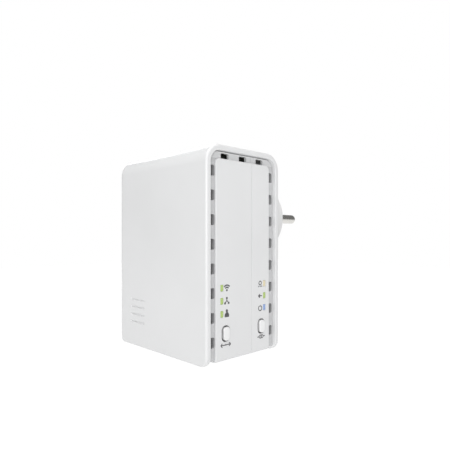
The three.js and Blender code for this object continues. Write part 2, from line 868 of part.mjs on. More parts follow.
// A stamped radiating strip on two legs, a feed and a ground.
function makeAntenna(name, at) {
  const rise = 4;
  const strip = 0.5;
  const legWidth = 2;
  const halfLength = 8;
  const halfWidth = 3.5;
  const [x, y, z] = onMainBoard(at[0], at[1], rise);
  const foot = y - rise / 2;
  const top = y + rise / 2;
  const endX = x - halfLength;
  const groundX = x - halfLength / 2;
  const lowZ = z - halfWidth;
  const highZ = z + halfWidth;
  const plate = block(endX, x + halfLength, top - strip, top, lowZ, highZ);
  const feed = block(endX, endX + strip, foot, top, lowZ, lowZ + legWidth);
  const ground = block(groundX, groundX + legWidth, foot, top, highZ - strip, highZ);
  place(name, joined([plate, feed, ground]), tinPlate);
}

// The header that joins the two large boards, and the one that meets the indicator board.
function makeHeaders() {
  const linkY = (mainBoardFaceY + powerBoardFaceY) / 2;
  const linkSpan = powerBoardFaceY - mainBoardFaceY - 2 * gap;
  const linkCentre = [boardEdgeX - 35, linkY, boardTopZ - 54];
  const link = centredBlock(linkCentre, [headerHeight, linkSpan, headerLength - 1]);
  place("board_link_header", link, darkPlastic);
  const z = bottomZ + indicatorBoardFromBottom + indicatorBoardHeight - headerBelowBoardTop;
  const half = headerLength / 2;
  const header = block(
    boardEdgeX - headerReach, indicatorBoardBackX - gap,
    mainBoardFaceY + gap, mainBoardFaceY + gap + headerHeight,
    z - half, z + half,
  );
  place("indicator_header", header, darkPlastic);
}

// ---------------------------------------------------------------- Ethernet jack

function makeJack() {
  const x0 = jackCentreX - jackWidth / 2;
  const x1 = jackCentreX + jackWidth / 2;
  const z1 = jackMouthZ + jackLength;
  const s = shieldThickness;
  const shield = block(x0, x1, jackLowY, jackHighY, jackMouthZ, z1).subtract(
    block(x0 + s, x1 - s, jackLowY + s, jackHighY - s, jackMouthZ - 1, z1 - s),
  );
  place("jack_shield", shield, tinPlate);

  const insertLowY = jackLowY + insertSide;
  const insertHighY = jackHighY - insertSide;
  const insert = block(
    x0 + insertSide, x1 - insertSide, insertLowY, insertHighY, jackMouthZ, z1 - insertSide,
  );
  const portLowY = insertLowY + portFloor;
  const portHighY = portLowY + portHeight;
  const half = portWidth / 2;
  const port = block(
    jackCentreX - half, jackCentreX + half,
    portLowY, portHighY,
    jackMouthZ - 1, jackMouthZ + portDepth,
  );
  const slot = latchSlotWidth / 2;
  const latchSlot = block(
    jackCentreX - slot, jackCentreX + slot,
    portHighY - 0.5, portHighY + latchSlotHeight,
    jackMouthZ - 1, jackMouthZ + portDepth,
  );
  place("jack_insert", insert.subtract(port).subtract(latchSlot), darkPlastic);

  const carrierZ = jackMouthZ + portDepth - gap;
  const lowY = portLowY + gap;
  const parts = [
    block(
      jackCentreX - half + gap, jackCentreX + half - gap,
      lowY, lowY + contactRise,
      carrierZ - contactCarrier, carrierZ,
    ),
  ];
  const firstX = jackCentreX - ((contactCount - 1) * contactPitch) / 2;
  for (let index = 0; index < contactCount; index += 1) {
    const x = firstX + index * contactPitch;
    parts.push(
      block(
        x - contactWidth / 2, x + contactWidth / 2,
        lowY + contactRise / 2, lowY + contactRise,
        carrierZ - contactCarrier - contactLength, carrierZ - contactCarrier / 2,
      ),
    );
  }
  place("jack_contacts", joined(parts), gold);
}

makeShell();
makeChassis();
makeIndicators();
makeButtons();
makePlug();
makePins();
makeScrews();
makeBoards();
makePowerParts();
makeMainParts();
makeJack();

export default group;
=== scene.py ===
# %% [markdown]
# # A plug-in powerline adapter
# The adapter is an upright white box that hangs from a wall socket by its own two-pin plug.
# Its sizes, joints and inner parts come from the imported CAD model, which is loaded as a fixed frame.
# The sleeve, the panel with its windows and caps, and the plug are modelled again here with smooth
# roundings. The jack and the parts inside stay as the CAD has them, and every part gets a finish.

# %% Load the frame
import json
import math

import bmesh
import bpy
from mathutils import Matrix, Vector


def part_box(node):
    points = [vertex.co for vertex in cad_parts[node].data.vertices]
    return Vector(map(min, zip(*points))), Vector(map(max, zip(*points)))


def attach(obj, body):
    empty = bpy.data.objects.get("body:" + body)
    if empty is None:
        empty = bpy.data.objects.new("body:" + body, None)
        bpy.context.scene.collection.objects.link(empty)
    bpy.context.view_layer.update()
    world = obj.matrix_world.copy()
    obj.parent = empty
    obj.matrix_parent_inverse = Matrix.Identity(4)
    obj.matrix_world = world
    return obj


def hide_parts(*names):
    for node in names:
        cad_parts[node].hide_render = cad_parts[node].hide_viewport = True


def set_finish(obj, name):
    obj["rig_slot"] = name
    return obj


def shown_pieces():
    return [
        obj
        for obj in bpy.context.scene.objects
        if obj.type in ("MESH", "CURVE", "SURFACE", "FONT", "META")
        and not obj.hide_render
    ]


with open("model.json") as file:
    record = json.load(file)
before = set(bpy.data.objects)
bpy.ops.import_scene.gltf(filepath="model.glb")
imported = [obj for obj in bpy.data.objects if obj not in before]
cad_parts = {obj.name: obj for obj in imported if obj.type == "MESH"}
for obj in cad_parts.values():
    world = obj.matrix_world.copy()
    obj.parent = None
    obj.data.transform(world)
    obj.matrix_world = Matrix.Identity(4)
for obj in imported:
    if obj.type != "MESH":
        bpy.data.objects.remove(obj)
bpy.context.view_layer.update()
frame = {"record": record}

mm = 0.001

# %% [markdown]
# ## The places everything hangs on
# A moulded product is drawn from a few datum faces, and so is this model: the rim of the open end,
# the closed end, the broad front, the back, the crown and the bottom. They are read from the frame,
# so a piece always lands where its CAD part is.

# %% Datum faces
shell_low, shell_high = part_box("outer_shell")
closed_x, front_y, bottom_z = shell_low
rim_x, back_y, top_z = shell_high
middle_y = (front_y + back_y) / 2
print("sleeve, mm:", [round(value / mm, 2) for value in shell_high - shell_low])

# %% [markdown]
# ## Working by hand, in code
# Each piece is started from a primitive, opened in edit mode, and pushed, cut and rounded there.
# An operator works on everything that is selected, so the helpers first let go of everything and
# then pick vertices, edges or faces by where they lie. Picking by place keeps working when a size changes.

# %% Helpers for picking
def pick(*pieces):
    """Selects these pieces and nothing else, and makes the last one active."""
    if bpy.context.mode != "OBJECT":
        bpy.ops.object.mode_set(mode="OBJECT")
    bpy.ops.object.select_all(action="DESELECT")
    for piece in pieces:
        piece.select_set(True)
    bpy.context.view_layer.objects.active = pieces[-1]


def choose(piece, kind, test):
    """Opens a piece in edit mode and selects its VERT, EDGE or FACE elements that pass the test."""
    if bpy.context.mode != "EDIT_MESH":
        pick(piece)
        bpy.ops.object.mode_set(mode="EDIT")
    bpy.ops.mesh.select_mode(type=kind)
    bpy.ops.mesh.select_all(action="DESELECT")
    mesh = bmesh.from_edit_mesh(piece.data)
    parts = {"VERT": mesh.verts, "EDGE": mesh.edges, "FACE": mesh.faces}[kind]
    chosen = [part for part in parts if test(part)]
    for part in chosen:
        part.select_set(True)
    bmesh.update_edit_mesh(piece.data)
    return len(chosen)


def middle(part):
    """The middle of an edge or a face."""
    return sum((vertex.co for vertex in part.verts), Vector()) / len(part.verts)


def close_to(a, b):
    return abs(a - b) < 0.005 * mm


def runs_along(edge, axis):
    """True for an edge that runs along axis 0, 1 or 2."""
    reach = edge.verts[1].co - edge.verts[0].co
    return abs(reach[axis]) > 0.999 * reach.length


# %% Helpers for starting and finishing a piece
def name_piece(name):
    piece = bpy.context.object
    piece.name = piece.data.name = name
    bpy.ops.object.transform_apply(location=True, rotation=True, scale=True)
    return piece


def new_block(name, low, high):
    """A block between two corners."""
    bpy.ops.object.select_all(action="DESELECT")
    low, high = Vector(low), Vector(high)
    bpy.ops.mesh.primitive_cube_add(size=1, location=(low + high) / 2, scale=high - low)
    return name_piece(name)


def new_rod(name, start, length, radius, sides=64):
    """A round bar that runs from its start along +Y, the way the plug points."""
    bpy.ops.object.select_all(action="DESELECT")
    bpy.ops.mesh.primitive_cylinder_add(
        vertices=sides, radius=radius, depth=length,
        location=Vector(start) + Vector((0, length / 2, 0)), rotation=(-math.pi / 2, 0, 0),
    )
    return name_piece(name)


def round_edges(piece, test, radius, steps):
    """Bevels the edges that pass the test."""
    count = choose(piece, "EDGE", test)
    bpy.ops.mesh.bevel(offset=radius, segments=steps, affect="EDGES", clamp_overlap=False)
    bpy.ops.object.mode_set(mode="OBJECT")
    return count


def apply_modifier(piece, kind, **settings):
    pick(piece)
    modifier = piece.modifiers.new(kind.title(), kind)
    for setting, value in settings.items():
        setattr(modifier, setting, value)
    bpy.ops.object.modifier_apply(modifier=modifier.name)


def copy_of(piece, name, shift=(0, 0, 0)):
    """A copy with its own mesh, moved by shift."""
    pick(piece)
    bpy.ops.object.duplicate()
    bpy.ops.transform.translate(value=shift)
    return name_piece(name)


def join(pieces):
    pick(*pieces)
    bpy.ops.object.join()
    return bpy.context.object


def carve(piece, cutter, operation="DIFFERENCE"):
    """Cuts one piece out of another, or joins them, and throws the cutter away."""
    apply_modifier(piece, "BOOLEAN", operation=operation, object=cutter, solver="EXACT")
    bpy.data.objects.remove(cutter)


def tidy(piece, angle=30):
    """Merges doubles and gives smooth shading that keeps flat faces flat."""
    pick(piece)
    bpy.ops.object.mode_set(mode="EDIT")
    bpy.ops.mesh.select_all(action="SELECT")
    bpy.ops.mesh.remove_doubles(threshold=0.0005 * mm)
    bpy.ops.mesh.dissolve_degenerate(threshold=0.0005 * mm)
    bpy.ops.object.mode_set(mode="OBJECT")
    bpy.ops.object.shade_smooth_by_angle(angle=math.radians(angle))
    apply_modifier(piece, "WEIGHTED_NORMAL", keep_sharp=True, weight=100)
    open_edges = loose_edges(piece)
    print(piece.name, "-", len(piece.data.polygons), "faces,", open_edges, "open edges")
    return piece


def loose_edges(piece):
    """How many edges don't have exactly two faces."""
    mesh = bmesh.new()
    mesh.from_mesh(piece.data)
    count = sum(1 for edge in mesh.edges if len(edge.link_faces) != 2)
    mesh.free()
    return count


# %% [markdown]
# ## The sleeve
# The housing is one moulding, open at the panel end and below, like a sleeve. By hand it starts as a
# block. The two long top edges get a big radius and the heel a smaller one. The closed end, the foot
# and the rim have radii of their own that run into each other at the corners, so they are cut in one
# go with a Bevel modifier that reads a weight on each edge. The hollow is carved out last.

# %% Sizes of the sleeve
wall = 2.5 * mm
crown_radius = 7.85 * mm
heel_radius = 2.5 * mm
sleeve_heel_radius = 4.5 * mm
closed_heel_radius = 4.5 * mm
closed_end_radius = 3 * mm
rim_radius = mm
inner_rim_radius = 0.25 * mm
clearance = 0.3 * mm
heel_x = rim_x - heel_radius
heel_z = bottom_z + heel_radius
print("hollow, mm:", round((back_y - front_y - 2 * wall) / mm, 2), "between its side walls")


def depth_below_skin(point, bend_radius=heel_radius):
    """How far a point lies inside a line that runs down the open end, round a bend and underneath."""
    beyond = max(point.x - rim_x + bend_radius, 0)
    below = max(bottom_z + bend_radius - point.z, 0)
    return bend_radius - math.hypot(beyond, below)


# %% Block, crown and heel
sleeve = new_block("sleeve", shell_low, shell_high)
round_edges(sleeve, lambda e: runs_along(e, 0) and close_to(middle(e).z, top_z), crown_radius, 16)
round_edges(
    sleeve,
    lambda e: runs_along(e, 1) and close_to(middle(e).z, bottom_z) and close_to(middle(e).x, rim_x),
    sleeve_heel_radius, 14,
)
print("crown and heel rounded:", len(sleeve.data.polygons), "faces")

# %% Fillets
def outline_radius(edge):
    """The fillet that an edge of the outline gets."""
    on_side = all(close_to(vertex.co.y, front_y) or close_to(vertex.co.y, back_y) for vertex in edge.verts)
    on_skin = all(close_to(depth_below_skin(vertex.co, sleeve_heel_radius), 0) for vertex in edge.verts)
    if all(close_to(vertex.co.x, closed_x) for vertex in edge.verts):
        return closed_heel_radius if close_to(middle(edge).z, bottom_z) else closed_end_radius
    if all(close_to(vertex.co.x, rim_x) and vertex.co.z > 0 for vertex in edge.verts):
        return rim_radius
    return rim_radius if on_skin and on_side and not runs_along(edge, 1) else 0


weights = sleeve.data.attributes.new("bevel_weight_edge", "FLOAT", "EDGE")
plan = bmesh.new()
plan.from_mesh(sleeve.data)
weights.data.foreach_set("value", [outline_radius(edge) / closed_heel_radius for edge in plan.edges])
plan.free()
apply_modifier(
    sleeve, "BEVEL", width=closed_heel_radius, segments=8, limit_method="WEIGHT",
    use_clamp_overlap=False,
)
print("fillets cut:", len(sleeve.data.polygons), "faces")

# %% Hollow, rim and plug opening
hollow_low = Vector((closed_x + wall, front_y + wall, bottom_z - wall))
hollow_high = Vector((rim_x + wall, back_y - wall, top_z - wall))
hollow_crown_radius = crown_radius - wall
hollow = new_block("hollow", hollow_low, hollow_high)
round_edges(
    hollow,
    lambda e: runs_along(e, 0) and close_to(middle(e).z, hollow_high.z),
    hollow_crown_radius, 12,
)
carve(sleeve, hollow)


def on_inner_rim(edge):
    """An edge where the end face of the wall meets the hollow."""
    on_skin = all(
        abs(depth_below_skin(vertex.co, sleeve_heel_radius)) < 0.01 * mm for vertex in edge.verts
    )
    inside = all(
        hollow_low.x - 0.01 * mm < vertex.co.x
        and hollow_low.y - 0.01 * mm < vertex.co.y < hollow_high.y + 0.01 * mm
        and vertex.co.z < hollow_high.z + 0.01 * mm
        for vertex in edge.verts
    )
    return on_skin and inside


print("inner rim edges:", round_edges(sleeve, on_inner_rim, inner_rim_radius, 3))
boss_low, boss_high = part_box("plug_boss")
flange_radius = (boss_high.x - boss_low.x) / 2
flange_overhang = 2.25 * mm
round_sides = 96
boss_radius = flange_radius - flange_overhang
opening = new_rod(
    "opening", (0, back_y - 2 * wall, 0), 3 * wall, boss_radius + clearance, round_sides,
)
carve(sleeve, opening)

# %% [markdown]
# ## Grip grooves
# Near the lower corner of the closed end are four short level grooves for the fingers. A ball-nosed
# mill would cut each one, so the cutter is a ball that is parted in the middle and stretched into a
# capsule. It is sunk until the groove is as deep and as wide as it should be, modelled once and copied.

# %% Grooves
groove_count = 4
groove_length = 12 * mm
groove_width = 1.2 * mm
groove_depth = 0.4 * mm
groove_pitch = 3.6 * mm
groove_from_end = 11 * mm
groove_from_bottom = 12 * mm
ball_radius = (groove_width**2 / 4 + groove_depth**2) / (2 * groove_depth)
ball_x = closed_x + groove_from_end + groove_width / 2

bpy.ops.object.select_all(action="DESELECT")
bpy.ops.mesh.primitive_uv_sphere_add(
    segments=24, ring_count=12, radius=ball_radius, rotation=(0, math.pi / 2, 0),
    location=(ball_x, front_y + groove_depth - ball_radius, bottom_z + groove_from_bottom),
)
groove = name_piece("groove")
choose(groove, "VERT", lambda v: v.co.x > ball_x + 0.01 * mm)
bpy.ops.transform.translate(value=(groove_length - groove_width, 0, 0))
grooves = [copy_of(groove, f"groove_{row}", (0, 0, row * groove_pitch)) for row in range(1, groove_count)]
carve(sleeve, join(grooves + [groove]))
tidy(sleeve)
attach(sleeve, "housing")
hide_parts("outer_shell")
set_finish(sleeve, "shell_white")

# %% [markdown]
# ## The bent plate
# The panel and the underside are one thin moulding that is bent round the heel: a vented channel all
# round, and a raised middle with rounded corners. Bending a sheet with Solidify fails here, because the
# wall is thicker than the bend's radius. So it is made as a block with a rounded heel, less a slightly
# smaller block. Two such sheets, for the channel floor and the raised middle, are joined, and then cut.
# A thin wall runs back from each side of the panel, so a vent looks onto white plastic.

# %% Sizes of the plate
panel_recess = 0.9 * mm
channel_recess = 1.85 * mm
plate_back = 3.1 * mm
raised_back = 2.6 * mm
inner_bend_radius = 0.3 * mm
channel_width = 3.5 * mm
panel_inset = wall + channel_width
panel_below_top = 5.7 * mm
panel_top_z = top_z - panel_below_top
panel_corner = 2.2 * mm
panel_edge = 0.45 * mm
inner_wall = 0.45 * mm
inner_wall_depth = 15 * mm
inner_wall_overlap = 0.2 * mm
panel_low_y = front_y + panel_inset
panel_high_y = back_y - panel_inset
panel_end_x = closed_x + panel_inset
panel_face_x = rim_x - panel_recess
print("panel, mm:", round((panel_high_y - panel_low_y) / mm, 2), "wide")


# %% Bent sheets
def at_bend(depth):
    """A test for the edge along which a block of that depth below the skin turns under."""
    return lambda e: (
        runs_along(e, 1) and close_to(middle(e).z, bottom_z + depth) and close_to(middle(e).x, rim_x - depth)
    )


def bent_sheet(name, depth, back, low, high):
    """A sheet between two depths below the skin, down the open end, round the heel and underneath."""
    sheet = new_block(name, (low[0], low[1], bottom_z + depth), (rim_x - depth, high[0], high[1]))
    round_edges(sheet, at_bend(depth), heel_radius - depth, 8)
    inside = new_block(
        "inside", (low[0] - mm, low[1] - mm, bottom_z + back), (rim_x - back, high[0] + mm, high[1] + mm),
    )
    round_edges(inside, at_bend(back), inner_bend_radius, 3)
    carve(sheet, inside)
    return sheet


plate = bent_sheet(
    "plate", channel_recess, plate_back,
    (closed_x + wall + clearance, front_y + wall + clearance),
    (back_y - wall - clearance, top_z - wall - clearance),
)
plate_top_z = top_z - wall - clearance
round_edges(
    plate,
    lambda e: runs_along(e, 0) and close_to(middle(e).z, plate_top_z),
    hollow_crown_radius - clearance, 12,
)
raised = bent_sheet(
    "raised", panel_recess, raised_back, (panel_end_x, panel_low_y), (panel_high_y, panel_top_z),
)


def at_panel_corner(edge):
    top_corner = runs_along(edge, 0) and close_to(middle(edge).z, panel_top_z)
    far_corner = runs_along(edge, 2) and close_to(middle(edge).x, panel_end_x)
    return top_corner or far_corner


print("panel corners:", round_edges(raised, at_panel_corner, panel_corner, 8))


def on_panel_outline(edge):
    """The outline of the raised face, where it turns into its side walls."""
    on_face = all(close_to(depth_below_skin(vertex.co), panel_recess) for vertex in edge.verts)
    depths = [depth_below_skin(middle(face)) for face in edge.link_faces]
    return on_face and len([depth for depth in depths if abs(depth - panel_recess) > 0.1 * mm]) == 1


print("panel outline:", round_edges(raised, on_panel_outline, panel_edge, 4))
carve(plate, raised, "UNION")
for side_low_y in (panel_low_y, panel_high_y - inner_wall):
    side_wall = new_block(
        "side_wall", (rim_x - inner_wall_depth, side_low_y, bottom_z + 2 * plate_back),
        (rim_x - plate_back + inner_wall_overlap, side_low_y + inner_wall, panel_top_z - panel_corner),
    )
    carve(plate, side_wall, "UNION")
print("plate:", len(plate.data.polygons), "faces,", loose_edges(plate), "open edges")

# %% [markdown]
# ## Vents
# Slots through the channel floor let the heat out: eight down each side, three over the top and five
# along each side of the underside. One slot cutter with rounded corners is modelled for each of the
# three sizes and copied along its row.

# %% Vents
slot_corner = 0.7 * mm
slot_length = 4.5 * mm
slot_width = 2.9 * mm
slot_pitch = 10.2 * mm
side_slots = 8
under_slots = 5
first_slot_z = bottom_z + 9.6 * mm
first_slot_x = rim_x - 14 * mm
top_slot_length = 4.8 * mm
top_slot_width = 2.4 * mm
top_slot_pitch = 10.85 * mm
slot_reach = plate_back + mm


def slot_cutter(name, low, high, axis):
    """A block that cuts along an axis, with its four long edges rounded."""
    cutter = new_block(name, low, high)
    round_edges(cutter, lambda e: runs_along(e, axis), slot_corner, 5)
    return cutter


cutters = []
for slot_y in (panel_low_y - slot_width, panel_high_y):
    slot = slot_cutter(
        "slot", (rim_x - slot_reach, slot_y, first_slot_z - slot_length / 2),
        (rim_x + mm, slot_y + slot_width, first_slot_z + slot_length / 2), 0,
    )
    cutters += [slot] + [copy_of(slot, "slot", (0, 0, row * slot_pitch)) for row in range(1, side_slots)]
    slot = slot_cutter(
        "slot", (first_slot_x - slot_length / 2, slot_y, bottom_z - mm),
        (first_slot_x + slot_length / 2, slot_y + slot_width, bottom_z + slot_reach), 2,
    )
    cutters += [slot]
    cutters += [copy_of(slot, "slot", (-row * slot_pitch, 0, 0)) for row in range(1, under_slots)]
slot = slot_cutter(
    "slot", (rim_x - slot_reach, middle_y - top_slot_length / 2, panel_top_z),
    (rim_x + mm, middle_y + top_slot_length / 2, panel_top_z + top_slot_width), 0,
)
cutters += [slot] + [copy_of(slot, "slot", (0, side * top_slot_pitch, 0)) for side in (-1, 1)]
print(len(cutters), "vents")

# %% [markdown]
# ## Openings for windows, buttons and jack
# The indicator windows and the button caps stand in openings that follow their outline with a small
# gap. That dark line round them is what makes them read as separate parts.

# %% Openings
window_gap = 0.12 * mm
window_corner = 0.3 * mm
window_half = Vector((0, 0.75 * mm, 1.3 * mm))
button_gap = 0.6 * mm
button_corner = 1.5 * mm
button_half = Vector((0, 1.75 * mm, 2.85 * mm))
columns = {"left": ("mode", 1), "right": ("pair", -1)}


def panel_cutter(node, half, gap, corner, steps):
    """A cutter through the panel at a CAD node, larger by the gap than the piece that stands in it."""
    low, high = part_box(node)
    centre = (low + high) / 2
    grow = half + Vector((0, gap, gap))
    cutter = new_block(
        "panel_cutter", Vector((rim_x - 2 * plate_back, centre.y, centre.z)) - grow,
        Vector((rim_x + mm, centre.y, centre.z)) + grow,
    )
    round_edges(cutter, lambda e: runs_along(e, 0), corner, steps)
    return cutter


for side, (button, _) in columns.items():
    for row in (1, 2, 3):
        window_node = f"{side}_light_pipe_{row}"
        cutters.append(panel_cutter(window_node, window_half, window_gap, window_corner, 4))
    cap_node = f"{button}_button_cap"
    cutters.append(panel_cutter(cap_node, button_half, button_gap, button_corner + button_gap, 8))

jack_low, jack_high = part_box("jack_shield")
margin = Vector((clearance, clearance, 0))
cutters.append(
    new_block(
        "jack_opening",
        Vector((jack_low.x, jack_low.y, bottom_z - mm)) - margin,
        Vector((jack_high.x, jack_high.y, bottom_z + 2 * plate_back)) + margin,
    )
)
carve(plate, join(cutters))
print("plate with openings:", len(plate.data.polygons), "faces,", loose_edges(plate), "open edges")

# %% [markdown]
# ## Two halves
# The plate is moulded in two halves that meet along a fine line beside the right-hand column. A copy
# of the plate is bisected twice, once for each half, and the two meeting edges get a small rounding,
# because two sharp edges would leave no line to see.

# %% Halves
split_from_back = 17.85 * mm
split_y = back_y - split_from_back
split_gap = 0.12 * mm
split_rounding = 0.2 * mm
for name, sign in (("front_plate_half", -1), ("rear_plate_half", 1)):
    half = copy_of(plate, name)
    cut_y = split_y + sign * split_gap / 2
    choose(half, "FACE", lambda f: True)
    bpy.ops.mesh.bisect(
        plane_co=(0, cut_y, 0), plane_no=(0, sign, 0), use_fill=True, clear_inner=True,
    )
    bpy.ops.object.mode_set(mode="OBJECT")
    edges = round_edges(
        half,
        lambda e: all(
            close_to(v.co.y, cut_y) and close_to(depth_below_skin(v.co), panel_recess) for v in e.verts
        ),
        split_rounding, 3,
    )
    print(name, "meeting edges:", edges)
    tidy(half)
    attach(half, "housing")
    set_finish(half, "panel_white")
bpy.data.objects.remove(plate)
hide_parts("chassis_front_half")
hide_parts("chassis_rear_half")

# %% [markdown]
# ## Indicator windows
# Each window is the end of a clear light pipe that carries the light of its LED to the panel. The end
# is level with the panel, softly rounded, and just domed. The pipe is a bar with a flange behind the
# panel: a flange block whose front is inset and extruded to the face, and whose back is drawn to the tip.

# %% Light pipes
window_rounding = 0.12 * mm
pipe_flange = 0.6 * mm
pipe_flange_thickness = 0.8 * mm
window_edge = 0.25 * mm
window_dome = 0.03 * mm


def light_pipe(name):
    """A light pipe in the place of the CAD node of that name."""
    low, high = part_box(name)
    flange_front = rim_x - plate_back - clearance
    flange_back = flange_front - pipe_flange_thickness
    window_name = name.replace("light_pipe", "window")
    pipe = new_block(window_name, (flange_back, low.y, low.z), (flange_front, high.y, high.z))
    for end, place_x in ((flange_front, high.x), (flange_back, low.x)):
        choose(pipe, "FACE", lambda f: abs(f.normal.x) > 0.9 and close_to(middle(f).x, end))
        bpy.ops.mesh.inset(thickness=pipe_flange)
        bpy.ops.mesh.extrude_region_move(TRANSFORM_OT_translate={"value": (place_x - end, 0, 0)})
        bpy.ops.object.mode_set(mode="OBJECT")
    round_edges(
        pipe, lambda e: runs_along(e, 0) and middle(e).x > flange_front + mm / 10, window_corner, 4,
    )
    choose(pipe, "FACE", lambda f: close_to(middle(f).x, high.x))
    bpy.ops.mesh.bevel(offset=window_rounding, segments=3, affect="EDGES", clamp_overlap=False)
    choose(pipe, "FACE", lambda f: close_to(middle(f).x, high.x))
    bpy.ops.mesh.inset(thickness=window_edge)
    bpy.ops.transform.translate(value=(window_dome, 0, 0))
    bpy.ops.object.mode_set(mode="OBJECT")
    tidy(pipe)
    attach(pipe, "housing")
    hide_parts(name)
    return pipe


windows = {}
for side in columns:
    for row in (1, 2, 3):
        windows[side, row] = light_pipe(f"{side}_light_pipe_{row}")

# %% [markdown]
# ## Button caps
# A cap stands a little proud of the panel, with a pill-shaped outline and a soft crown that a finger
# slides over. It starts as its flange, which stops it from falling out. The flange's front is inset and
# extruded, so the stem keeps the flange's outline, and the front edge is rounded last.

# %% Caps
cap_flange = 0.9 * mm
cap_flange_thickness = mm
cap_rounding = 0.25 * mm
cap_edge = 0.5 * mm
cap_crown = 0.04 * mm


def button_cap(button):
    """The cap of the mode or the pair button."""
    low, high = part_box(f"{button}_button_cap")
    flange_front = low.x + cap_flange_thickness
    cap = new_block(f"{button}_cap", low, (flange_front, high.y, high.z))
    round_edges(cap, lambda e: runs_along(e, 0), button_corner + cap_flange, 8)
    choose(cap, "FACE", lambda f: f.normal.x > 0.9)
    bpy.ops.mesh.inset(thickness=cap_flange)
    bpy.ops.mesh.extrude_region_move(TRANSFORM_OT_translate={"value": (high.x - flange_front, 0, 0)})
    choose(cap, "FACE", lambda f: f.normal.x > 0.9 and close_to(middle(f).x, high.x))
    bpy.ops.mesh.bevel(offset=cap_rounding, segments=5, affect="EDGES", clamp_overlap=False)
    choose(cap, "FACE", lambda f: f.normal.x > 0.999 and close_to(middle(f).x, high.x))
    bpy.ops.mesh.inset(thickness=cap_edge)
    bpy.ops.transform.translate(value=(cap_crown, 0, 0))
    bpy.ops.object.mode_set(mode="OBJECT")
    tidy(cap)
    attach(cap, f"{button}_button")
    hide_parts(f"{button}_button_cap")
    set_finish(cap, "cap_white")


for button, _ in columns.values():
    button_cap(button)

# %% [markdown]
# ## Printed marks
# Beside each window a small grey sign is pad-printed, and under each button a wider one.
# Each sign is drawn flat, in its own plane with right and up as X and Y, out of bars, dots and rings, and
# then given the thickness of a film of ink and laid on the panel. The signs are plain ones that any
# network box could carry: arrows and rings in place of words.

# %% Drawing with ink
ink_thickness = 0.05 * mm
ink_sunk = 0.02 * mm


def ink_bar(start, end, width):
    """A bar from one point to another, in millimetres on the panel."""
    start, end = Vector((*start, 0)), Vector((*end, 0))
    reach = end - start
    bpy.ops.object.select_all(action="DESELECT")
    bpy.ops.mesh.primitive_plane_add(
        size=mm, location=(start + end) / 2 * mm, rotation=(0, 0, math.atan2(reach.y, reach.x)),
    )
    bar = bpy.context.object
    bar.scale = (reach.length, width, 1)
    name_piece("bar")
    choose(bar, "VERT", lambda v: True)
    bpy.ops.mesh.bevel(offset=min(width, reach.length) * mm / 5, segments=2, affect="VERTICES")
    bpy.ops.object.mode_set(mode="OBJECT")
    return bar


def ink_dot(centre, radius):
    """A filled dot: a ring of points whose face is poked to its middle."""
    bpy.ops.object.select_all(action="DESELECT")
    bpy.ops.mesh.primitive_circle_add(
        vertices=24, radius=radius * mm, fill_type="NGON", location=Vector((*centre, 0)) * mm,
    )
    dot = name_piece("dot")
    choose(dot, "FACE", lambda f: True)
    bpy.ops.mesh.poke()
    bpy.ops.object.mode_set(mode="OBJECT")
    return dot


def ink_ring(centre, radius, width, start=0, sweep=360):
    """A ring, or an arc of one, counted in degrees from the right: a disc inset, with the rest deleted."""
    bpy.ops.object.select_all(action="DESELECT")
    bpy.ops.mesh.primitive_circle_add(
        vertices=48, radius=(radius + width / 2) * mm, fill_type="NGON",
    )
    ring = name_piece("ring")
    choose(ring, "FACE", lambda f: True)
    bpy.ops.mesh.inset(thickness=width * mm)
    bpy.ops.mesh.delete(type="FACE")

    def outside(face):
        place = middle(face)
        return (math.degrees(math.atan2(place.y, place.x)) - start) % 360 > sweep

    if sweep < 360:
        choose(ring, "FACE", outside)
        bpy.ops.mesh.delete(type="FACE")
    choose(ring, "VERT", lambda v: True)
    bpy.ops.transform.translate(value=Vector((*centre, 0)) * mm)
    bpy.ops.object.mode_set(mode="OBJECT")
    return ring


# %% The signs
def wireless_sign():
    """A dot with two broad arcs over it."""
    arcs = [ink_ring((0, -1.2), reach, 0.62, 43, 94) for reach in (1.3, 2.25)]
    return arcs + [ink_dot((0, -1.1), 0.48)]


def network_sign():
    """Three nodes joined as a tree."""
    nodes = [(0, 1.1), (-1.05, -1.05), (1.05, -1.05)]
    links = [ink_bar((0, 1), (0, 0), 0.4)]
    links += [ink_bar((0, 0.1), (side * 1.05, -0.95), 0.4) for side in (-1, 1)]
    return links + [ink_bar((x - 0.48, y), (x + 0.48, y), 0.9) for x, y in nodes]


def user_sign():
    """A head above a broad pair of shoulders."""
    return [
        ink_dot((0, 1.2), 0.66),
        ink_ring((0, -0.5), 0.7, 0.9, 0, 180),
        ink_bar((-1.3, -0.8), (1.3, -0.8), 1.3),
    ]


def sync_sign():
    """A ring over a row of three dots."""
    return [ink_ring((0, 0.35), 0.85, 0.42)] + [ink_dot((x, -1.15), 0.3) for x in (-1, 0, 1)]


def arrow_sign():
    """An arrow that points away from its window."""
    return [
        ink_bar((-1, 0), (1.15, 0), 0.5),
        ink_bar((-1.2, 0.05), (-0.1, 0.8), 0.5),
        ink_bar((-1.2, -0.05), (-0.1, -0.8), 0.5),
    ]


def ring_sign():
    """A ring that is open at the top, with a short bar in the gap."""
    return [ink_ring((0, -0.1), 1.12, 0.46, 118, 304), ink_bar((0, 0.4), (0, 1.35), 0.42)]


def swap_marks():
    """A long arrow with a head at each end, for the button that changes between two states."""
    heads = [
        ink_bar((side * 2.85, 0.05 * turn), (side * 1.95, 0.8 * turn), 0.42)
        for side in (-1, 1) for turn in (-1, 1)
    ]
    return heads + [ink_bar((-2.7, 0), (2.7, 0), 0.42)]


def link_marks():
    """Two rings that overlap, with a bar on each side, for the button that joins two boxes."""
    rings = [ink_ring((side * 0.55, 0), 0.72, 0.36) for side in (-1, 1)]
    return rings + [ink_bar((side * 1.5, 0), (side * 2.5, 0), 0.42) for side in (-1, 1)]


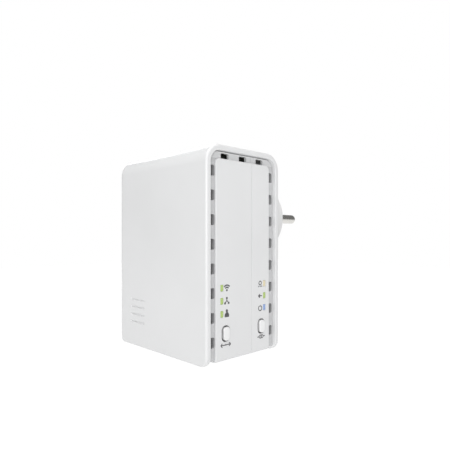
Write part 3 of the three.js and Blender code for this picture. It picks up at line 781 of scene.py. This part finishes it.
def lay_on_panel(name, parts, y, z):
    """Gives a flat drawing the thickness of ink and lays it on the panel at y and z."""
    sign = join(parts)
    apply_modifier(sign, "SOLIDIFY", thickness=ink_thickness, offset=1)
    sign.rotation_euler = (math.pi / 2, 0, math.pi / 2)
    sign.location = (panel_face_x - ink_sunk, y, z)
    pick(sign)
    name_piece(name)
    bpy.ops.object.mode_set(mode="EDIT")
    bpy.ops.mesh.select_all(action="SELECT")
    bpy.ops.mesh.normals_make_consistent(inside=False)
    bpy.ops.object.mode_set(mode="OBJECT")
    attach(sign, "housing")
    return sign


sign_makers = {
    "left": (wireless_sign, network_sign, user_sign),
    "right": (sync_sign, arrow_sign, ring_sign),
}
sign_from_window = 2.85 * mm
mark_below_cap = 1.95 * mm
signs = []
for side, (button, inward) in columns.items():
    for row, maker in enumerate(sign_makers[side], start=1):
        low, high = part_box(f"{side}_light_pipe_{row}")
        sign_y = (low.y + high.y) / 2 + inward * sign_from_window
        name = f"{side}_{maker.__name__}"
        signs.append(lay_on_panel(name, maker(), sign_y, (low.z + high.z) / 2))
    low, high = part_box(f"{button}_button_cap")
    cap_bottom = low.z + cap_flange
    marks = swap_marks() if side == "left" else link_marks()
    name = f"{button}_button_marks"
    signs.append(lay_on_panel(name, marks, (low.y + high.y) / 2, cap_bottom - mark_below_cap))
print(len(signs), "printed signs")

# %% [markdown]
# ## The plug
# The plug is a round boss that fits the well of a wall socket. It is one moulding: a cup whose face
# carries two pins, with a notch at top and bottom for the socket's earth clips and a deep hole for a
# socket's own earth pin. It is drawn like a turned part: a disc for the flange, its face inset and
# extruded to the boss, and the other side inset and pushed in for the hollow.

# %% Boss
boss_wall = 2.5 * mm
boss_edge = mm
flange_thickness = 2 * mm
flange_back_y = back_y - wall - clearance
flange_front_y = flange_back_y - flange_thickness
boss = new_rod("boss", (0, flange_front_y, 0), flange_thickness, flange_radius, round_sides)
choose(boss, "FACE", lambda f: f.normal.y > 0.9)
bpy.ops.mesh.inset(thickness=flange_overhang)
bpy.ops.mesh.extrude_region_move(TRANSFORM_OT_translate={"value": (0, -flange_back_y, 0)})
choose(boss, "FACE", lambda f: f.normal.y < -0.9)
bpy.ops.mesh.inset(thickness=flange_overhang + boss_wall)
bpy.ops.mesh.extrude_region_move(
    TRANSFORM_OT_translate={"value": (0, -boss_wall - flange_front_y, 0)},
)
bpy.ops.object.mode_set(mode="OBJECT")


def on_plug_face_outline(edge):
    on_face = all(close_to(vertex.co.y, 0) for vertex in edge.verts)
    return on_face and len([face for face in edge.link_faces if face.normal.y > 0.9]) == 1


print("plug face edges:", round_edges(boss, on_plug_face_outline, boss_edge, 5))

# %% Earth hole, notches, pin holes and posts
pin_radius = 2.4 * mm
pin_fit = 0.15 * mm
pin_spacing = 19 * mm
earth_radius = 3.2 * mm
earth_depth = 15 * mm
earth_wall = 1.2 * mm
earth_z = 10 * mm
notch_width = 6 * mm
notch_depth = 1.9 * mm
notch_corner = 0.5 * mm
earth_mouth = 0.5 * mm
post_radius = 2.2 * mm
bore_radius = 1.3 * mm
bore_depth = 3 * mm
post_end_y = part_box("power_board")[1].y + clearance
post_reach = (flange_radius - post_radius) / math.sqrt(2)

carve(
    boss,
    new_rod(
        "earth_sleeve", (0, -earth_depth - earth_wall, earth_z), earth_depth, earth_radius + earth_wall,
    ),
    "UNION",
)
for x, z in ((-post_reach, post_reach), (post_reach, -post_reach)):
    post = new_rod("post", (x, post_end_y, z), flange_back_y - mm - post_end_y, post_radius, 32)
    carve(boss, post, "UNION")
    carve(boss, new_rod("bore", (x, post_end_y - mm, z), bore_depth + mm, bore_radius, 24))
holes = [new_rod("earth_hole", (0, -earth_depth, earth_z), earth_depth + mm, earth_radius)]
for x in (-pin_spacing / 2, pin_spacing / 2):
    holes.append(new_rod("pin_hole", (x, -boss_wall - mm, 0), boss_wall + 2 * mm, pin_radius + pin_fit))
for z in (boss_radius - notch_depth / 2, -boss_radius + notch_depth / 2):
    notch = new_block(
        "notch", (-notch_width / 2, back_y, z - notch_depth / 2 - (z < 0) * mm),
        (notch_width / 2, mm, z + notch_depth / 2 + (z > 0) * mm),
    )
    round_edges(notch, lambda e: runs_along(e, 1) and abs(middle(e).z) < boss_radius, notch_corner, 4)
    holes.append(notch)
carve(boss, join(holes))


def on_earth_mouth(edge):
    return all(
        close_to(v.co.y, 0) and abs(math.hypot(v.co.x, v.co.z - earth_z) - earth_radius) < 0.01 * mm
        for v in edge.verts
    )


print("earth hole mouth:", round_edges(boss, on_earth_mouth, earth_mouth, 3))
boss.name = boss.data.name = "plug_body"
tidy(boss)
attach(boss, "housing")
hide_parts("plug_boss")
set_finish(boss, "plug_white")

# %% [markdown]
# ## Pins
# A pin of the round 16 A kind is a turned brass bar, nickel plated, with a domed end so that it finds
# the socket's sleeve. Rounding the end edge of a bar by more than half its radius gives that dome.

# %% Pins
pin_tip = 1.4 * mm
for name in ("live_pin", "neutral_pin"):
    low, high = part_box(name)
    centre = (low + high) / 2
    pin = new_rod(f"{name}_turned", (centre.x, low.y, centre.z), high.y - low.y, pin_radius, 48)
    round_edges(
        pin,
        lambda e: all(close_to(v.co.y, high.y) for v in e.verts)
        and len([face for face in e.link_faces if face.normal.y > 0.9]) == 1,
        pin_tip, 6,
    )
    tidy(pin)
    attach(pin, "housing")
    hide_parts(name)
    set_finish(pin, "pin_nickel")

# %% [markdown]
# ## Finishes
# Most finishes are what their stuff and their tool leave; the channel and the caps' sides carry painted
# shade.
# Moulded white plastic carries the fine spark-eroded grain of its mould; metals carry fine scratches
# and a dull bloom.
# The maths of each pattern is written as plain expressions on a socket, through one small class.

# %% Sockets as numbers
class Wire:
    """An output socket that can be added, multiplied and compared like a number."""

    def __init__(self, finish, socket):
        self.finish = finish
        self.socket = socket

    def maths(self, operation, first, second):
        return self.finish.node("ShaderNodeMath", {"operation": operation}, {0: first, 1: second})

    def __add__(self, other):
        return self.maths("ADD", self, other)

    __radd__ = __add__

    def __mul__(self, other):
        return self.maths("MULTIPLY", self, other)

    __rmul__ = __mul__

    def __sub__(self, other):
        return self.maths("SUBTRACT", self, other)

    def __rsub__(self, other):
        return self.maths("SUBTRACT", other, self)

    def __gt__(self, other):
        return self.maths("GREATER_THAN", self, other)


class Finish:
    """A material whose nodes are added one call at a time."""

    def __init__(self, name, **constants):
        self.material = bpy.data.materials.new(name)
        self.material.use_nodes = True
        self.tree = self.material.node_tree
        self.shader = self.tree.nodes["Principled BSDF"]
        for socket, value in constants.items():
            self.shader.inputs[socket.replace("_", " ")].default_value = value

    def node(self, kind, settings=None, sockets=None, output=0):
        """Adds a node: its settings first, then the values or links of its sockets."""
        made = self.tree.nodes.new(kind)
        for setting, value in (settings or {}).items():
            if setting == "stops":
                self.set_stops(made.color_ramp, value)
            else:
                setattr(made, setting, value)
        for socket, value in (sockets or {}).items():
            if isinstance(value, Wire):
                self.tree.links.new(value.socket, made.inputs[socket])
            else:
                made.inputs[socket].default_value = value
        return Wire(self, made.outputs[output])

    @staticmethod
    def set_stops(ramp, stops):
        while len(ramp.elements) < len(stops):
            ramp.elements.new(0.5)
        for element, (place, tone) in zip(ramp.elements, stops):
            element.position = place
            element.color = (tone, tone, tone, 1)

    def feed(self, **wires):
        """Leads wires to the shader's own sockets."""
        for socket, wire in wires.items():
            self.tree.links.new(wire.socket, self.shader.inputs[socket.replace("_", " ")])

    def place(self, scale=(1, 1, 1)):
        """Points on the piece, in metres, stretched by a scale."""
        points = self.node("ShaderNodeTexCoord", output="Object")
        return self.node("ShaderNodeMapping", {}, {"Vector": points, "Scale": scale})

    def noise(self, points, scale, detail=3, roughness=0.5):
        sockets = {"Vector": points, "Scale": scale, "Detail": detail, "Roughness": roughness}
        return self.node("ShaderNodeTexNoise", {}, sockets)

    def between(self, factor, low, high):
        """A colour between two, by a factor from 0 to 1."""
        first, second = (tone if isinstance(tone, Wire) else (*tone, 1) for tone in (low, high))
        return self.node(
            "ShaderNodeMix", {"data_type": "RGBA"}, {"Factor": factor, 6: first, 7: second}, output=2,
        )

    def ramp(self, factor, *stops):
        """A grey ramp from (place, tone) stops."""
        return self.node("ShaderNodeValToRGB", {"stops": stops}, {"Fac": factor})

    def bump(self, height, strength, distance):
        sockets = {"Height": height, "Strength": strength, "Distance": distance}
        return self.node("ShaderNodeBump", {}, sockets)


# %% [markdown]
# ### White plastic
# The housing is glossy-satin white plastic with a very fine grain. A real moulding is never one flat
# white: the tone drifts a little where the melt cooled at another rate, and handling leaves patches that
# are a touch smoother. So a slow noise moves the tone, a middle one the roughness, and a fine one the bump.
# The vented channel, its slots and the walls seen through them get painted shade: the plastic goes greyer
# with its depth below the skin, darkest on the slot walls and less on the walls further in, and the channel
# over the top gets less of it, as the light falls from above. That depth is worked out from the piece's own
# coordinates, as it is in depth_below_skin, so the shade follows the plate round its bend.

# %% White plastic
drift_scale = 38
handling_scale = 210
grain_height = 0.02 * mm
# Painted shade: how deep below the skin it reaches, and how much of it the channel over the top loses.
shade_reach = 4 * mm
shade_cut_over_top = 0.7


def depth_and_height(finish):
    """How deep a point lies below the skin, and how high it is."""
    points = finish.node("ShaderNodeTexCoord", output="Object")
    across = finish.node("ShaderNodeSeparateXYZ", {}, {0: points}, output="X")
    up = finish.node("ShaderNodeSeparateXYZ", {}, {0: points}, output="Z")
    beyond = finish.node("ShaderNodeMath", {"operation": "MAXIMUM"}, {0: across - heel_x, 1: 0.0})
    below = finish.node("ShaderNodeMath", {"operation": "MAXIMUM"}, {0: heel_z - up, 1: 0.0})
    square = beyond * beyond + below * below
    return heel_radius - finish.node("ShaderNodeMath", {"operation": "SQRT"}, {0: square}), up


def white_plastic(name, tone, grain_scale=5200, grain=0.05, gloss=0.36, deep=None):
    finish = Finish(name, IOR=1.46)
    points = finish.place()
    drift = finish.noise(points, drift_scale, 2)
    handling = finish.noise(points, handling_scale, 4, 0.6)
    fine = finish.noise(points, grain_scale, 2)
    deeper = tuple(channel * 0.972 for channel in tone)
    colour = finish.between(finish.ramp(drift, (0.3, 0), (0.7, 1)), deeper, tone)
    # Painted shade in recesses: the colour goes towards a grey tone with depth below the skin.
    if deep:
        deep_tone, stops = deep
        depth_steps = [(step / shade_reach, shade_amount) for step, shade_amount in stops]
        depth, height = depth_and_height(finish)
        painted_shade = finish.ramp(depth * (1 / shade_reach), *depth_steps) * (1 - shade_cut_over_top * (height > panel_top_z))
        colour = finish.between(painted_shade, colour, deep_tone)
    finish.feed(
        Base_Color=colour,
        Roughness=gloss + 0.12 * handling + 0.04 * fine,
        Normal=finish.bump(fine, grain, grain_height),
    )
    return finish.material


# Painted shade of the panel: none on the raised face, grey in the channel, darkest on the slot walls.
panel_shade_steps = (
    (0.95 * mm, 0), (1.85 * mm, 0.46), (2.35 * mm, 0.9), (3.2 * mm, 0.9), (3.7 * mm, 0.35),
)
# Painted shade of the caps: greyer down their sides below the face.
cap_shade_steps = ((0.08 * mm, 0), (0.3 * mm, 0.3), (0.9 * mm, 0.5), (2 * mm, 1))
panel_painted_shade = ((0.34, 0.342, 0.35), panel_shade_steps)
cap_painted_shade = ((0.16, 0.161, 0.165), cap_shade_steps)
finishes = {
    "shell_white": white_plastic("shell white", (0.752, 0.756, 0.760), gloss=0.24),
    "panel_white": white_plastic("panel white", (0.750, 0.754, 0.759), 4600, 0.07, 0.38, panel_painted_shade),
    "cap_white": white_plastic("cap white", (0.845, 0.847, 0.85), 6000, 0.03, 0.24, cap_painted_shade),
    "plug_white": white_plastic("plug white", (0.740, 0.742, 0.742), 4200, 0.08, 0.42),
}
print(len(finishes), "white plastics")

# %% [markdown]
# ### Lit windows
# A light pipe glows most in its middle, where it looks straight at the LED, and less at its edges. The
# glow is an emission colour that fades with the distance from the window's own centre, with a
# faint cloud in it from the diffusing grain.

# %% Lit windows
glow_reach = 1.6 * mm


def lit_window(name, tone, glow, strength, centre):
    finish = Finish(name, IOR=1.49, Roughness=0.25, Emission_Strength=strength)
    points = finish.node("ShaderNodeTexCoord", output="Object")
    offset = finish.node(
        "ShaderNodeVectorMath", {"operation": "SUBTRACT"}, {0: points, 1: tuple(centre)},
    )
    far = finish.node("ShaderNodeVectorMath", {"operation": "LENGTH"}, {0: offset}, output="Value")
    cloud = finish.noise(points, 2600, 2)
    fade = finish.ramp(far * (1 / glow_reach) + 0.25 * cloud, (0.1, 0), (0.95, 1))
    dim = tuple(channel * 0.72 for channel in glow)
    finish.feed(
        Emission_Color=finish.between(fade, glow, dim),
        Base_Color=finish.between(cloud, tone, tuple(channel * 0.9 for channel in tone)),
    )
    return finish.material


window_tones = {
    ("left", 1): "lens_green", ("left", 2): "lens_green", ("left", 3): "lens_green",
    ("right", 1): "lens_orange", ("right", 2): "lens_green", ("right", 3): "lens_blue",
}
glows = {
    "lens_green": ((0.38, 0.50, 0.16), (0.46, 0.62, 0.20), 0.24),
    "lens_orange": ((0.74, 0.66, 0.46), (0.85, 0.74, 0.48), 0.12),
    "lens_blue": ((0.26, 0.36, 0.60), (0.30, 0.45, 0.85), 0.2),
}
for (side, row), window in windows.items():
    slot_name = window_tones[side, row]
    tone, glow, strength = glows[slot_name]
    low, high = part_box(f"{side}_light_pipe_{row}")
    face_centre = (high.x, (low.y + high.y) / 2, (low.z + high.z) / 2)
    window.data.materials.append(lit_window(f"{window.name} light", tone, glow, strength, face_centre))
    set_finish(window, slot_name)
print(len(windows), "windows lit in", len(glows), "colours")

# %% [markdown]
# ### Ink
# The signs are pad-printed in dark grey, a film so thin that it only just stands on the plastic. It could
# be masked into the panel's own finish, but signs that are pieces keep sharp edges from any distance.
# Ink is never quite even, so a fine cloud moves its tone and its gloss.

# %% Ink
ink = Finish("sign ink", IOR=1.5)
ink_points = ink.place()
ink_cloud = ink.noise(ink_points, 3000, 3)
ink.feed(
    Base_Color=ink.between(ink_cloud, (0.085, 0.085, 0.09), (0.125, 0.125, 0.13)),
    Roughness=0.5 + 0.2 * ink_cloud,
)
for sign in signs:
    sign.data.materials.append(ink.material)
print("ink on", len(signs), "signs")

# %% [markdown]
# ### Metals
# Plated and rolled metal shows fine lines along the way it was drawn, and small patches where the plate
# is duller. Stretching a noise along one axis gives the lines.

# %% Metals
line_height = 0.02 * mm


def metal(name, tone, roughness, stretch=(1, 1, 1), scale=900):
    finish = Finish(name, Metallic=1.0)
    lines = finish.noise(finish.place(stretch), scale, 4, 0.6)
    bloom = finish.noise(finish.place(), 260, 3)
    duller = tuple(channel * 0.8 for channel in tone)
    finish.feed(
        Base_Color=finish.between(bloom, duller, tone),
        Roughness=roughness + 0.14 * lines + 0.1 * bloom,
        Normal=finish.bump(lines, 0.12, line_height),
    )
    return finish.material


finishes |= {
    "pin_nickel": metal("nickel plate", (0.72, 0.71, 0.68), 0.16, (12, 1, 12)),
    "tin_plate": metal("tin plate", (0.62, 0.63, 0.64), 0.26, (1, 1, 8)),
    "screw_steel": metal("zinc-plated steel", (0.55, 0.56, 0.58), 0.3),
    "contact_gold": metal("gold plate", (0.83, 0.60, 0.24), 0.2, (10, 10, 1)),
    "copper_strip": metal("copper", (0.72, 0.38, 0.22), 0.26),
    "aluminium_spreader": metal("aluminium", (0.70, 0.71, 0.72), 0.34, (10, 10, 1)),
}
print(len(finishes), "finishes with the metals")

# %% [markdown]
# ### The stuff of the inner parts
# Little of the inside shows through the vents, yet each part gets the finish of its own stuff. Chip resin
# and pressed ferrite are dull and coarse, dipped epoxy is smooth, and a board's mask is a glossy green film.
# They differ only in tone, gloss and grain, so one function makes them all.

# %% Dark and coloured plastics, ferrite and boards
def moulded(name, tone, lighter, roughness, scale=1800, grain=0.1):
    finish = Finish(name, IOR=1.5)
    points = finish.place()
    cloud = finish.noise(points, 220, 3)
    fine = finish.noise(points, scale, 3)
    finish.feed(
        Base_Color=finish.between(cloud, tone, lighter),
        Roughness=roughness + 0.15 * fine,
        Normal=finish.bump(fine, grain, 0.03 * mm),
    )
    return finish.material


finishes |= {
    "dark_plastic": moulded("black plastic", (0.022, 0.023, 0.025), (0.034, 0.035, 0.037), 0.4),
    "chip_black": moulded("chip resin", (0.014, 0.015, 0.017), (0.024, 0.025, 0.028), 0.5, 3200, 0.2),
    "ferrite_core": moulded("ferrite", (0.035, 0.035, 0.038), (0.06, 0.06, 0.064), 0.55, 1500, 0.3),
    "yellow_plastic": moulded("yellow plastic", (0.60, 0.40, 0.06), (0.66, 0.46, 0.09), 0.35),
    "blue_coating": moulded("blue epoxy", (0.03, 0.13, 0.38), (0.05, 0.18, 0.46), 0.25, 900, 0.15),
    "led_body": moulded("indicator resin", (0.80, 0.76, 0.52), (0.86, 0.83, 0.62), 0.3),
    "board_green": moulded("board mask", (0.015, 0.12, 0.045), (0.025, 0.17, 0.07), 0.3, 1400, 0.12),
}
print(len(finishes), "finishes with the inner parts")

# %% [markdown]
# ### A finish for every piece
# One loop looks the slot up and swaps the finish in, so none is forgotten. Windows and ink have theirs
# already.

# %% Give every piece its finish
slot_of_node = {part["node"]: part["material_slot"] for part in frame["record"]["subparts"]}
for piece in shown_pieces():
    slot_name = piece.get("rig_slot") or slot_of_node.get(piece.name)
    if slot_name in finishes:
        piece.data.materials.clear()
        piece.data.materials.append(finishes[slot_name])

# %% [markdown]
# ## The studio
# The adapter is seen straight on to the edge between its front and its panel, from the height of its
# middle, as it hangs. A pale floor lies well below it. A dark floor would shade the underside, so this one
# glows, and far away it meets the room without an edge. Below the adapter it glows less, which lights the
# underside less and lies there as a painted shadow. The room is one soft white light, and three large
# lamps, above, before and behind, give the crown its brightness and the edges their lines.

# %% Camera
camera_past_rim = 131.37 * mm
camera_before_front = 115.32 * mm
camera_height = 54.11 * mm
camera_heading = math.radians(46.27)
bpy.ops.object.select_all(action="DESELECT")
bpy.ops.object.camera_add(
    location=(rim_x + camera_past_rim, front_y - camera_before_front, bottom_z + camera_height),
    rotation=(math.pi / 2, 0, camera_heading),
)
camera = bpy.context.object
camera.name = "camera"
camera.data.lens = 34.79
camera.data.sensor_width = 36
camera.data.shift_y = 0.0229
camera.data.clip_start = mm
bpy.context.scene.camera = camera
print("camera stands", [round(value / mm) for value in camera.location], "mm from the plug face")

# %% Floor
floor_z = -0.6
floor_size = 16
bpy.ops.object.select_all(action="DESELECT")
bpy.ops.mesh.primitive_plane_add(size=floor_size, location=(0, 0, floor_z))
floor = bpy.context.object
floor.name = "floor"
floor_finish = Finish("studio floor", IOR=1.3, Roughness=0.9, Emission_Strength=1.0)
floor_points = floor_finish.place()
floor_cloud = floor_finish.noise(floor_points, 4, 2)
floor_reach = floor_finish.node(
    "ShaderNodeVectorMath", {"operation": "LENGTH"}, {0: floor_points}, output="Value",
)
# Painted shadow: the floor's glow is dimmer round the middle, below the adapter.
floor_painted_shadow_fade = floor_finish.ramp(floor_reach * 0.5, (0.12, 0), (0.4, 1))
floor_finish.feed(
    Base_Color=floor_finish.between(floor_cloud, (0.50, 0.50, 0.50), (0.54, 0.54, 0.54)),
    Emission_Color=floor_finish.between(floor_painted_shadow_fade, (0.45, 0.45, 0.45), (0.92, 0.92, 0.92)),
)
floor.data.materials.append(floor_finish.material)
print("floor lies", round((bottom_z - floor_z) / mm), "mm below the adapter")

# %% Room light
world = bpy.data.worlds.new("studio")
bpy.context.scene.world = world
world.use_nodes = True
room = world.node_tree
room_light = room.nodes["Background"]
room_light.inputs["Color"].default_value = (1, 1, 1, 1)
room_light.inputs["Strength"].default_value = 0.22
backdrop = room.nodes.new("ShaderNodeBackground")
backdrop.inputs["Color"].default_value = (1, 1, 1, 1)
rays = room.nodes.new("ShaderNodeLightPath")
choice = room.nodes.new("ShaderNodeMixShader")
room.links.new(rays.outputs["Is Camera Ray"], choice.inputs["Fac"])
room.links.new(room_light.outputs["Background"], choice.inputs[1])
room.links.new(backdrop.outputs["Background"], choice.inputs[2])
room.links.new(choice.outputs["Shader"], room.nodes["World Output"].inputs["Surface"])
print("room light:", round(room_light.inputs["Strength"].default_value, 2))

# %% Soft lamps
def soft_lamp(name, toward, distance, size, power):
    """A square lamp that stands in a direction from the adapter and shines at it."""
    body_middle = Vector((0, middle_y, (bottom_z + top_z) / 2))
    out = Vector(toward).normalized()
    bpy.ops.object.select_all(action="DESELECT")
    bpy.ops.object.light_add(type="AREA", location=body_middle + out * distance)
    lamp = bpy.context.object
    lamp.name = name
    lamp.data.shape = "SQUARE"
    lamp.data.size = size
    lamp.data.energy = power
    lamp.rotation_euler = out.to_track_quat("Z", "Y").to_euler()
    print(name, power, "W")


soft_lamp("high_lamp", (0.27, -0.27, 0.925), 0.8, 0.7, 6.0)
soft_lamp("key_lamp", (0.70, -0.71, 0.12), 0.9, 0.22, 2.6)
soft_lamp("back_lamp", (-0.78, 0.50, 0.38), 0.9, 0.5, 3.0)
bpy.context.scene.view_settings.view_transform = "Standard"
